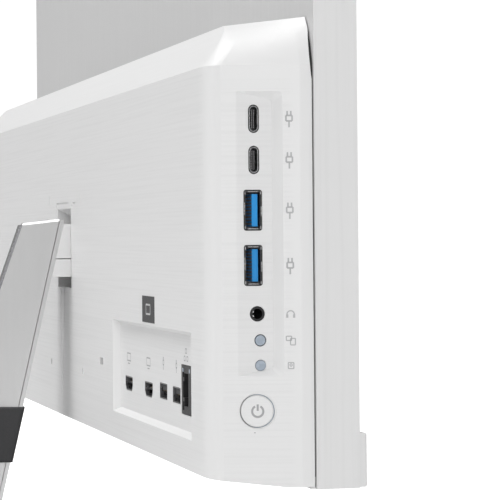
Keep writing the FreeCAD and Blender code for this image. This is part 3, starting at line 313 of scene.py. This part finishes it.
def circuit_board():
    """Green solder mask over straight tracks, with tinned spots."""
    finish = Finish("circuit_board", (0.02, 0.13, 0.07), 0.35, coat_weight=0.4)
    tracks = finish.node("ShaderNodeTexBrick")
    tracks.inputs["Scale"].default_value = 1.0
    tracks.inputs["Mortar Size"].default_value = 0.12
    tracks.inputs["Color1"].default_value = (0, 0, 0, 1)
    tracks.inputs["Color2"].default_value = (0.2, 0.2, 0.2, 1)
    tracks.inputs["Mortar"].default_value = (1, 1, 1, 1)
    finish.link(finish.stretched((300, 300, 600), (math.radians(90), 0, 0)), tracks.inputs["Vector"])
    finish.tint(tracks.outputs["Color"], (0.05, 0.24, 0.12))
    pads = finish.node("ShaderNodeTexVoronoi")
    pads.inputs["Scale"].default_value = 260
    finish.link(finish.place.outputs["Object"], pads.inputs["Vector"])
    finish.tint(finish.ramped(pads.outputs["Distance"], 0.1, 0.16, 1, 0), (0.55, 0.5, 0.38))
    finish.relief(tracks.outputs["Fac"], 0.03 * MM)
    return finish


def screen_glass():
    """Dark anti-glare glass: a clear coat over near black, softened by a very fine etch."""
    finish = Finish("screen_glass", (0.006, 0.006, 0.008), 0.22, coat_weight=0.5, coat_roughness=0.12)
    etch = finish.noise((3500, 3500, 3500), 1)
    glow = finish.noise((3, 3, 3), 1)
    finish.tint(finish.ramped(glow, 0.3, 0.8, 0, 0.5), (0.012, 0.012, 0.016))
    finish.relief(etch, 0.002 * MM)
    return finish


def clouded_lens():
    """Blue-grey translucent plastic with a slightly darker rim of grain."""
    finish = Finish("clouded_lens", (0.36, 0.42, 0.49), 0.25, coat_weight=0.6, coat_roughness=0.1)
    cloud = finish.noise((500, 500, 500), 3)
    finish.tint(finish.ramped(cloud, 0.35, 0.75, 0, 0.5), (0.45, 0.51, 0.58))
    finish.polish(cloud, 0.2, 0.32)
    return finish


def all_finishes():
    """Every finish by name: first the record's slots, then those of the added pieces."""
    return {
        "white_shell": housing_white(),
        "white_frame": frame_white(),
        "panel_glass": screen_glass(),
        "black_plastic": grained("black_plastic", (0.018, 0.018, 0.019), 0.42),
        "port_metal": worked_metal("port_metal", (0.30, 0.30, 0.31), 0.3, (900, 900, 900)),
        "blue_plastic": grained("blue_plastic", (0.02, 0.33, 0.80), 0.35, 1800, 0.85),
        "lens_grey": clouded_lens(),
        "aluminium": satin_aluminium(),
        "steel": worked_metal("steel", (0.5, 0.51, 0.53), 0.34),
        "rubber": grained("rubber", (0.03, 0.03, 0.032), 0.8, 1500),
        "charcoal": grained("charcoal", (0.026, 0.026, 0.028), 0.62, 1400, 0.85, 0.03 * MM),
        "board_green": circuit_board(),
        "copper": worked_metal("copper", (0.72, 0.36, 0.2), 0.32),
        "label_grey": grained("label_film", (0.040, 0.040, 0.042), 0.5, 1200),
        "gold": worked_metal("gold_plate", (0.75, 0.55, 0.25), 0.28, (600, 600, 600)),
        "bright_metal": worked_metal("bright_metal", (0.78, 0.78, 0.79), 0.25, (900, 900, 900)),
        "print_grey": grained("print_grey", (0.42, 0.42, 0.43), 0.6, 1500),
        "print_dark": grained("print_dark", (0.22, 0.22, 0.23), 0.6, 1500),
        "print_light": grained("print_light", (0.50, 0.50, 0.51), 0.6, 1500),
        "print_white": grained("print_white", (0.62, 0.62, 0.62), 0.6, 1500),
    }


def dress_nodes(finishes):
    """Give each CAD node the finish of its slot; the record's slots say which that is."""
    for node in nodes.values():
        for slot in node.material_slots:
            name = slot.material.name.split(".")[0]
            slot.material = finishes[name].material


# ---- mesh helpers --------------------------------------------------------------

def piece(name, vertices, faces, finish, body):
    """A mesh piece in the row frame that rides on a body."""
    mesh = bpy.data.meshes.new(name)
    mesh.from_pydata([tuple(v) for v in vertices], [], faces)
    cleaned = bmesh.new()
    cleaned.from_mesh(mesh)
    bmesh.ops.recalc_face_normals(cleaned, faces=cleaned.faces)
    cleaned.to_mesh(mesh)
    cleaned.free()
    made = bpy.data.objects.new(name, mesh)
    bpy.context.scene.collection.objects.link(made)
    mesh.materials.append(finish.material)
    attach(made, body)
    return made


def touch(node, start, direction):
    """Where a line from a point first meets a node, and the surface's outward direction there."""
    hit, place, normal, _ = nodes[node].ray_cast(Vector(start), Vector(direction).normalized())
    if not hit:
        raise RuntimeError(f"nothing of {node} is in the way")
    return place, normal


class Plate:
    """A flat place on the object: an origin and directions across, up and out."""

    def __init__(self, origin, across, up):
        self.origin = Vector(origin)
        self.out = Vector(across).cross(Vector(up)).normalized()
        self.up = Vector(up).normalized()
        self.across = self.up.cross(self.out).normalized()

    def point(self, u, v, lift=0.0):
        """A place on the plate, raised along its outward direction."""
        return self.origin + self.across * u + self.up * v + self.out * lift


class Shapes:
    """Collects closed solids and turns them into one piece."""

    def __init__(self):
        self.vertices = []
        self.faces = []

    def ring_of(self, loops):
        """Join loops of equal length into a closed skin with capped ends."""
        start, count = len(self.vertices), len(loops[0])
        for loop in loops:
            self.vertices += loop
        for row in range(len(loops) - 1):
            for index in range(count):
                following = (index + 1) % count
                low, high = start + row * count, start + (row + 1) * count
                self.faces.append((low + index, low + following, high + following, high + index))
        self.faces.append(tuple(start + index for index in range(count))[::-1])
        last = start + (len(loops) - 1) * count
        self.faces.append(tuple(last + index for index in range(count)))

    def slab(self, plate, outline, low, high):
        """A flat outline given thickness between two lifts from its plate."""
        self.ring_of([[plate.point(u, v, lift) for u, v in outline] for lift in (low, high)])

    def bar(self, plate, start, end, width, low, high):
        """A straight stroke between two points of a plate."""
        run = Vector((end[0] - start[0], end[1] - start[1]))
        side = Vector((-run.y, run.x)).normalized() * width / 2
        outline = [(start[0] - side.x, start[1] - side.y), (end[0] - side.x, end[1] - side.y),
                   (end[0] + side.x, end[1] + side.y), (start[0] + side.x, start[1] + side.y)]
        self.slab(plate, outline, low, high)

    def arc(self, plate, centre, radius, width, start, sweep, low, high, steps=24):
        """A curved stroke made of short straight blocks; angles in degrees."""
        for index in range(steps):
            corners = []
            for angle, reach in ((index, -1), (index + 1, -1), (index + 1, 1), (index, 1)):
                turn = math.radians(start + sweep * angle / steps)
                distance = radius + reach * width / 2
                u, v = centre[0] + distance * math.cos(turn), centre[1] + distance * math.sin(turn)
                corners.append((u, v))
            self.slab(plate, corners, low, high)

    def frame(self, plate, centre, wide, tall, width, low, high):
        """A rectangular outline of strokes."""
        u, v = wide / 2, tall / 2
        x, y = centre
        corners = [(x - u, y - v), (x + u, y - v), (x + u, y + v), (x - u, y + v)]
        for index in range(4):
            self.bar(plate, corners[index], corners[(index + 1) % 4], width, low, high)

    def block(self, low, high):
        """A plain bar between two corners in the row frame."""
        loops = [[Vector((x, y, z)) for y, z in ((low[1], low[2]), (high[1], low[2]), (high[1], high[2]),
                                                 (low[1], high[2]))] for x in (low[0], high[0])]
        self.ring_of(loops)

    def made(self, name, finish, body, slot):
        return piece(name, self.vertices, self.faces, finish, body)


# ---- printed signs -------------------------------------------------------------

INK_LOW, INK_HIGH = -0.02 * MM, 0.02 * MM


def side_plate(line, height):
    """A flat place on the sloping side panel, from its distance behind the slab and its height."""
    start = Vector((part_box("rear_housing")[0].x - 20 * MM, line, height))
    place, normal = touch("rear_housing", start, X)
    across = Z.cross(normal)
    return Plate(place, across, Z)


def port_centres():
    """Heights of the side ports and lights, from the top down."""
    c_low, c_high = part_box("usb_c_shells")
    a_low, a_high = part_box("usb_a_shells")
    half_c, half_a = 4.7 * MM, 6.65 * MM
    middle = lambda node: sum(corner.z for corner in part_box(node)) / 2
    return {"usb_c": (c_high.z - half_c, c_low.z + half_c), "usb_a": (a_high.z - half_a, a_low.z + half_a),
            "jack": middle("audio_jack"), "source": middle("source_button"), "drive": middle("status_lens")}


def plug_sign(shapes, plate, size):
    """A lead with a two-pin plug, drawn upright."""
    stroke = 0.09 * size
    shapes.bar(plate, (0, -0.5 * size), (0, -0.16 * size), stroke, INK_LOW, INK_HIGH)
    shapes.frame(plate, (0, 0.0), 0.34 * size, 0.3 * size, stroke, INK_LOW, INK_HIGH)
    for side in (-1, 1):
        pin = side * 0.1 * size
        shapes.bar(plate, (pin, 0.16 * size), (pin, 0.4 * size), stroke, INK_LOW, INK_HIGH)


def headset_sign(shapes, plate, size):
    """A headband with two ear cups."""
    stroke = 0.1 * size
    shapes.arc(plate, (0, -0.05 * size), 0.3 * size, stroke, 0, 180, INK_LOW, INK_HIGH, 12)
    for side in (-1, 1):
        shapes.bar(plate, (side * 0.28 * size, -0.32 * size), (side * 0.28 * size, -0.04 * size),
                   0.18 * size, INK_LOW, INK_HIGH)


def screens_sign(shapes, plate, size):
    """Two overlapping screens."""
    stroke = 0.1 * size
    shapes.frame(plate, (-0.18 * size, 0.2 * size), 0.5 * size, 0.4 * size, stroke, INK_LOW, INK_HIGH)
    shapes.frame(plate, (0.2 * size, -0.12 * size), 0.46 * size, 0.62 * size, stroke, INK_LOW, INK_HIGH)


def drive_sign(shapes, plate, size):
    """A square case with a disc in it."""
    stroke = 0.1 * size
    shapes.frame(plate, (0, 0), 0.56 * size, 0.6 * size, stroke, INK_LOW, INK_HIGH)
    shapes.arc(plate, (0, 0.06 * size), 0.12 * size, stroke, 0, 360, INK_LOW, INK_HIGH, 12)


def side_signs(finishes):
    """One small sign beside each port and light of the side recess."""
    line = SLAB_BACK + 8.2 * MM
    centres = port_centres()
    shapes = Shapes()
    for height in centres["usb_c"] + centres["usb_a"]:
        plug_sign(shapes, side_plate(line, height), 6.2 * MM)
    headset_sign(shapes, side_plate(line, centres["jack"]), 4.2 * MM)
    screens_sign(shapes, side_plate(line, centres["source"]), 3.6 * MM)
    drive_sign(shapes, side_plate(line, centres["drive"]), 3.4 * MM)
    shapes.made("side_signs", finishes["print_light"], "display", "label_grey")


def power_sign(finishes):
    """The broken ring and bar on the power button."""
    low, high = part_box("power_button")
    centre = (low + high) / 2
    place, normal = touch("power_button", (low.x - 10 * MM, centre.y, centre.z), X)
    plate = Plate(place, Z.cross(normal), Z)
    shapes = Shapes()
    radius, stroke = 1.9 * MM, 0.72 * MM
    shapes.arc(plate, (0, -0.1 * MM), radius, stroke, 118, 304, INK_LOW, INK_HIGH, 40)
    shapes.bar(plate, (0, 0.1 * MM), (0, 2.3 * MM), stroke, INK_LOW, INK_HIGH)
    shapes.made("power_sign", finishes["print_grey"], "power_button", "label_grey")


# ---- side port details ----------------------------------------------------------

def recess_plate(y, z):
    """A flat place on the side recess's floor."""
    low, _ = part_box("usb_a_shells")
    return Plate((low.x, y, z), -Y, Z)


def rounded(wide, tall, radius, steps=8):
    """A centred rounded outline, anticlockwise from the right."""
    corners = ((wide / 2 - radius, tall / 2 - radius, 0), (radius - wide / 2, tall / 2 - radius, 90),
               (radius - wide / 2, radius - tall / 2, 180), (wide / 2 - radius, radius - tall / 2, 270))
    points = []
    for u, v, start in corners:
        for step in range(steps + 1):
            turn = math.radians(start + 90 * step / steps)
            points.append((u + radius * math.cos(turn), v + radius * math.sin(turn)))
    return points


def rim_piece(shapes, plate, wide, tall, radius, width, low, high):
    """A closed rounded rim, made of short blocks."""
    inner = rounded(wide - 2 * width, tall - 2 * width, max(radius - width, 0.05 * MM))
    outer = rounded(wide, tall, radius)
    for index in range(len(inner)):
        following = (index + 1) % len(inner)
        shapes.slab(plate, [inner[index], inner[following], outer[following], outer[index]], low, high)


def usb_c_details(finishes):
    """A dark collar, a bright rolled rim and bright contacts on the tongue of each small port."""
    rim_wide, rim_tall, rim_width = 2.9 * MM, 8.8 * MM, 0.16 * MM
    collar_wide, collar_tall, collar_width = 3.8 * MM, 9.7 * MM, 0.42 * MM
    pins, pitch, pin_half, pin_rise, pin_long = 8, 0.82 * MM, 0.3 * MM, 0.05 * MM, 5 * MM
    rims, collars, contacts = Shapes(), Shapes(), Shapes()
    shell_low, shell_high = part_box("usb_c_shells")
    tongue_low, tongue_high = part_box("usb_c_tongues")
    middle = (shell_low.y + shell_high.y) / 2
    for height in port_centres()["usb_c"]:
        plate = recess_plate(middle, height)
        rim_piece(rims, plate, rim_wide, rim_tall, rim_wide / 2, rim_width, -0.3 * MM, 0.08 * MM)
        rim_piece(collars, plate, collar_wide, collar_tall, collar_wide / 2, collar_width,
                  -0.1 * MM, 0.05 * MM)
        for side in (tongue_low.y - 0.04 * MM, tongue_high.y + 0.04 * MM):
            for row in range(pins):
                z = height + (row - (pins - 1) / 2) * pitch
                contacts.block((tongue_low.x - 0.03 * MM, side - pin_rise, z - pin_half),
                               (tongue_low.x + pin_long, side + pin_rise, z + pin_half))
    collars.made("usb_c_collars", finishes["black_plastic"], "display", "black_plastic")
    rims.made("usb_c_rims", finishes["bright_metal"], "display", "steel")
    contacts.made("usb_c_contacts", finishes["bright_metal"], "display", "steel")


def spring_tabs(shapes, plate):
    """Bright folds on the lips of a tall port: its ends, its corners and its long sides."""
    rows = [(0, side * 6.35, 3.6, 0.22) for side in (1, -1)]
    rows += [(across * 2.75, up * 5.9, 0.22, 1.0) for across in (-1, 1) for up in (1, -1)]
    rows += [(-2.95, 0.6, 0.2, 4.2), (2.95, -0.4, 0.2, 3.4)]
    for u, v, wide, tall in rows:
        half, rise, u, v = wide / 2 * MM, tall / 2 * MM, u * MM, v * MM
        outline = [(u - half, v - rise), (u + half, v - rise), (u + half, v + rise), (u - half, v + rise)]
        shapes.slab(plate, outline, 0.1 * MM, 0.2 * MM)


def usb_a_details(finishes):
    """Folded lips round each large port, spring tabs and a comb of contacts on its tongue."""
    lip_wide, lip_tall, lip_radius, lip_width = 6.5 * MM, 14.0 * MM, 0.9 * MM, 0.65 * MM
    pins, pitch, pin_half, short_pin, long_pin = 9, 1.15 * MM, 0.27 * MM, 7.5 * MM, 9.5 * MM
    lips, tabs, contacts = Shapes(), Shapes(), Shapes()
    shell_low, shell_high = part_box("usb_a_shells")
    tongue_low, tongue_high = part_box("usb_a_tongues")
    middle = (shell_low.y + shell_high.y) / 2
    for height in port_centres()["usb_a"]:
        plate = recess_plate(middle, height)
        rim_piece(lips, plate, lip_wide, lip_tall, lip_radius, lip_width, -0.1 * MM, 0.12 * MM)
        spring_tabs(tabs, plate)
        for row in range(pins):
            z = height + (row - (pins - 1) / 2) * pitch
            reach = short_pin if row % 2 else long_pin
            contacts.block((tongue_low.x + 0.7 * MM, tongue_high.y - 0.02 * MM, z - pin_half),
                           (tongue_low.x + reach, tongue_high.y + 0.12 * MM, z + pin_half))
    lips.made("usb_a_lips", finishes["black_plastic"], "display", "black_plastic")
    tabs.made("usb_a_tabs", finishes["bright_metal"], "display", "steel")
    contacts.made("usb_a_contacts", finishes["print_dark"], "display", "copper")


def jack_details(finishes):
    """Two spring contacts just inside the round socket, and its moulded ring."""
    ring_wide, ring_width, spring_half = 4.9 * MM, 0.3 * MM, 0.28 * MM
    low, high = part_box("audio_jack")
    centre = (low + high) / 2
    springs, ring = Shapes(), Shapes()
    for side in (-1, 1):
        z = centre.z + side * 0.75 * MM
        springs.block((low.x + 0.5 * MM, centre.y + 1.15 * MM, z - spring_half),
                      (low.x + 2.5 * MM, centre.y + 1.6 * MM, z + spring_half))
    plate = Plate((low.x, centre.y, centre.z), -Y, Z)
    rim_piece(ring, plate, ring_wide, ring_wide, ring_wide / 2, ring_width, -0.2 * MM, 0.15 * MM)
    springs.made("jack_springs", finishes["bright_metal"], "display", "steel")
    ring.made("jack_ring", finishes["black_plastic"], "display", "black_plastic")


def power_ring(finishes):
    """A pale ring round the power button, deep in its gap, as painted light that makes the gap read light,
    and a tiny moulded mark below.
    """
    lit_gap_radius, lit_gap_width, lit_gap_low, lit_gap_high = 5.6 * MM, 0.3 * MM, -1.5 * MM, -0.9 * MM
    mark_half, mark_width, mark_rear, mark_drop = 0.25 * MM, 0.3 * MM, 1 * MM, 7.4 * MM
    low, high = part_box("power_button")
    centre = (low + high) / 2
    outside = low.x - 10 * MM
    place, normal = touch("power_button", (outside, centre.y, centre.z), X)
    plate = Plate(place, Z.cross(normal), Z)
    lit_gap_ring, mark = Shapes(), Shapes()
    # painted light: a pale grey ring set deep in the gap so that the gap shows light instead of shade
    lit_gap_ring.arc(plate, (0, 0), lit_gap_radius, lit_gap_width, 0, 360, lit_gap_low, lit_gap_high, 48)
    lit_gap_ring.made("power_gap_painted_light", finishes["lens_grey"], "power_button", "lens_grey")
    place, normal = touch("rear_housing", (outside, centre.y + mark_rear, centre.z - mark_drop), X)
    below = Plate(place, Z.cross(normal), Z)
    mark.bar(below, (-mark_half, 0), (mark_half, 0), mark_width, INK_LOW, INK_HIGH)
    mark.made("power_mark", finishes["print_grey"], "display", "label_grey")


def seam_painted_shadows(finishes):
    """A dark rubber-coloured strip in the bottom of the gap between the housing and the slab, each side:
    painted shadow of the gap.

    It is a narrow strip that widens in an arc towards the slab's upper corners."""
    foot, pitch, count = 71.6 * MM, 2.62 * MM, 61
    narrow, proud = 0.42 * MM, 0.35 * MM
    arc_radius, arc_height, arc_inset = 60 * MM, 219 * MM, 58.9 * MM
    low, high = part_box("rear_housing")
    shapes = Shapes()
    for side in (-1, 1):
        outside, inward = high.x + 25 * MM, Vector((-side, 0, 0))
        loops = []
        for step in range(count):
            z = foot + step * pitch
            arc = math.sqrt(max(arc_radius ** 2 - (z - arc_height) ** 2, 0)) - arc_inset
            wide = max(narrow, arc - 0.04 * MM)
            hit, place, _, _ = nodes["rear_housing"].ray_cast(
                Vector((side * outside, low.y + 0.3 * MM, z)), inward)
            if not hit:
                continue
            out = place.x + side * proud
            loops.append([Vector((place.x, low.y, z)), Vector((out, low.y, z)),
                          Vector((out, low.y + wide, z)), Vector((place.x, low.y + wide, z))])
        shapes.ring_of(loops)
    # painted shadow: dark strips laid in the seam gap, widest towards the upper corners where the gap's
    # shade is widest
    shapes.made("seam_painted_shadows", finishes["rubber"], "display", "rubber")


# ---- rear port details ------------------------------------------------------------

def tongue_contacts(shapes, node, pins, first, pitch, half, above):
    """Contacts on the upper or lower face of a pair of tongues that share a node."""
    tongue_wide, thick, setback = 11 * MM, 0.12 * MM, 3 * MM
    low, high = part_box(node)
    bottom, top = (high.z, high.z + thick) if above else (low.z - thick, low.z)
    for left in (low.x, high.x - tongue_wide):
        for pin in range(pins):
            x = left + (pin + first) * pitch
            shapes.block((x - half, low.y + setback, bottom), (x + half, high.y, top))


def network_jack_details(contacts, lamps):
    """Eight spring wires under the network jack's roof and two small lights beside them."""
    lamp_wide, lamp_low, lamp_high = 1.6 * MM, 2.6 * MM, 1.2 * MM
    pins, pitch, half = 8, 1.0 * MM, 0.2 * MM
    low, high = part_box("lan_jack")
    for x in (low.x + lamp_wide, high.x - 2 * lamp_wide):
        lamps.block((x, high.y - 0.2 * MM, high.z - lamp_low),
                    (x + lamp_wide, high.y + 0.1 * MM, high.z - lamp_high))
    for index in range(pins):
        x = (low.x + high.x) / 2 + (index - (pins - 1) / 2) * pitch
        contacts.block((x - half, high.y - 8 * MM, high.z - 5.0 * MM),
                       (x + half, high.y - 2.5 * MM, high.z - 4.7 * MM))


def rear_signs(shapes):
    """A small sign over each rear port: a screen, a lead with a plug, or three linked boxes."""
    floor = touch("rear_housing", (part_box("hdmi_shells")[1].x + 6 * MM, 60 * MM, 112 * MM), -Y)[0].y
    above_ports, above_jack, stroke = 8 * MM, 4 * MM, 0.5 * MM
    box_wide, box_tall, box_stroke = 2.2 * MM, 1.6 * MM, 0.4 * MM
    for node, width in (("hdmi_shells", 15.4 * MM), ("rear_usb_shells", 13.6 * MM)):
        low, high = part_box(node)
        for x in (low.x + width / 2, high.x - width / 2):
            plate = Plate((x, floor, high.z + above_ports), -X, Z)
            if node == "hdmi_shells":
                shapes.frame(plate, (0, 0), 7 * MM, 3.0 * MM, stroke, INK_LOW, INK_HIGH)
                shapes.bar(plate, (-2 * MM, -2.6 * MM), (2 * MM, -2.6 * MM), stroke, INK_LOW, INK_HIGH)
            else:
                plug_sign(shapes, plate, 5.5 * MM)
    low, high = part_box("lan_jack")
    plate = Plate(((low.x + high.x) / 2, floor, high.z + above_jack), -X, Z)
    for centre in ((0, 1.2 * MM), (-2.2 * MM, -1.6 * MM), (2.2 * MM, -1.6 * MM)):
        shapes.frame(plate, centre, box_wide, box_tall, box_stroke, INK_LOW, INK_HIGH)


def label_print(finishes):
    """A plain empty frame printed on the rear label."""
    low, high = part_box("rear_label")
    plate = Plate(((low.x + high.x) / 2, high.y, (low.z + high.z) / 2), -X, Z)
    shapes = Shapes()
    shapes.frame(plate, (0, 0), 8 * MM, 3.6 * MM, 0.7 * MM, INK_LOW, INK_HIGH)
    shapes.made("label_print", finishes["print_white"], "display", "label_grey")


def rear_details(finishes):
    """Contacts, lights and small signs of the rear ports."""
    contacts, prints, lamps = Shapes(), Shapes(), Shapes()
    tongue_contacts(contacts, "hdmi_tongues", 7, 2, 1.0 * MM, 0.25 * MM, True)
    tongue_contacts(contacts, "rear_usb_tongues", 4, 1.2, 2.1 * MM, 0.45 * MM, False)
    network_jack_details(contacts, lamps)
    rear_signs(prints)
    contacts.made("rear_contacts", finishes["gold"], "display", "steel")
    lamps.made("network_lights", finishes["lens_grey"], "display", "lens_grey")
    prints.made("rear_signs", finishes["print_grey"], "display", "label_grey")
    label_print(finishes)


# ---- front details ----------------------------------------------------------------

def speaker_hole_shades(finishes):
    """Three staggered rows of flat dark discs at each end of the speaker bar, painted shade standing for
    small holes.
    """
    columns, rows, pitch, start, radius, sides = 60, 3, 3 * MM, 110 * MM, 0.55 * MM, 6
    low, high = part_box("speaker_bar")
    plate = Plate((0, low.y, (low.z + high.z) / 2), X, Z)
    hole_shades = Shapes()
    for side in (-1, 1):
        for column in range(columns):
            for row in range(rows):
                u = side * (start + column * pitch + pitch / 2 * (row % 2))
                v = (row - 1) * pitch
                turns = [math.radians(360 / sides * turn) for turn in range(sides)]
                outline = [(u + radius * math.cos(turn), v + radius * math.sin(turn)) for turn in turns]
                # painted shade: each hole is a thin black disc on the bar's surface, not an opening
                hole_shades.slab(plate, outline, INK_LOW, INK_HIGH)
    hole_shades.made("speaker_hole_shades", finishes["black_plastic"], "display", "black_plastic")


def camera_details(finishes):
    """The camera's flat ring and the grip ribs of its shutter."""
    low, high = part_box("camera_lens")
    bezel_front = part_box("front_bezel")[0].y
    ring = Shapes()
    plate = Plate(((low.x + high.x) / 2, bezel_front, (low.z + high.z) / 2), X, Z)
    rim_piece(ring, plate, 3.4 * MM, 2.8 * MM, 1.3 * MM, 0.3 * MM, -0.05 * MM, 0.05 * MM)
    ring.made("camera_ring", finishes["black_plastic"], "display", "black_plastic")
    pitch, half, margin, proud = 1.2 * MM, 0.25 * MM, 0.6 * MM, 0.25 * MM
    low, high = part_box("camera_shutter")
    ribs = Shapes()
    for step in (-1, 0, 1):
        x = (low.x + high.x) / 2 + step * pitch
        ribs.block((x - half, low.y - proud, low.z + margin),
                   (x + half, low.y + 0.02 * MM, high.z - margin))
    ribs.made("shutter_ribs", finishes["white_frame"], "camera_shutter", "white_frame")


add_camera()
add_floor()
add_lights()
bpy.context.scene.view_settings.view_transform = "Standard"
finishes = all_finishes()
dress_nodes(finishes)
side_signs(finishes)
power_sign(finishes)
power_ring(finishes)
usb_c_details(finishes)
usb_a_details(finishes)
jack_details(finishes)
seam_painted_shadows(finishes)
rear_details(finishes)
speaker_hole_shades(finishes)
camera_details(finishes)
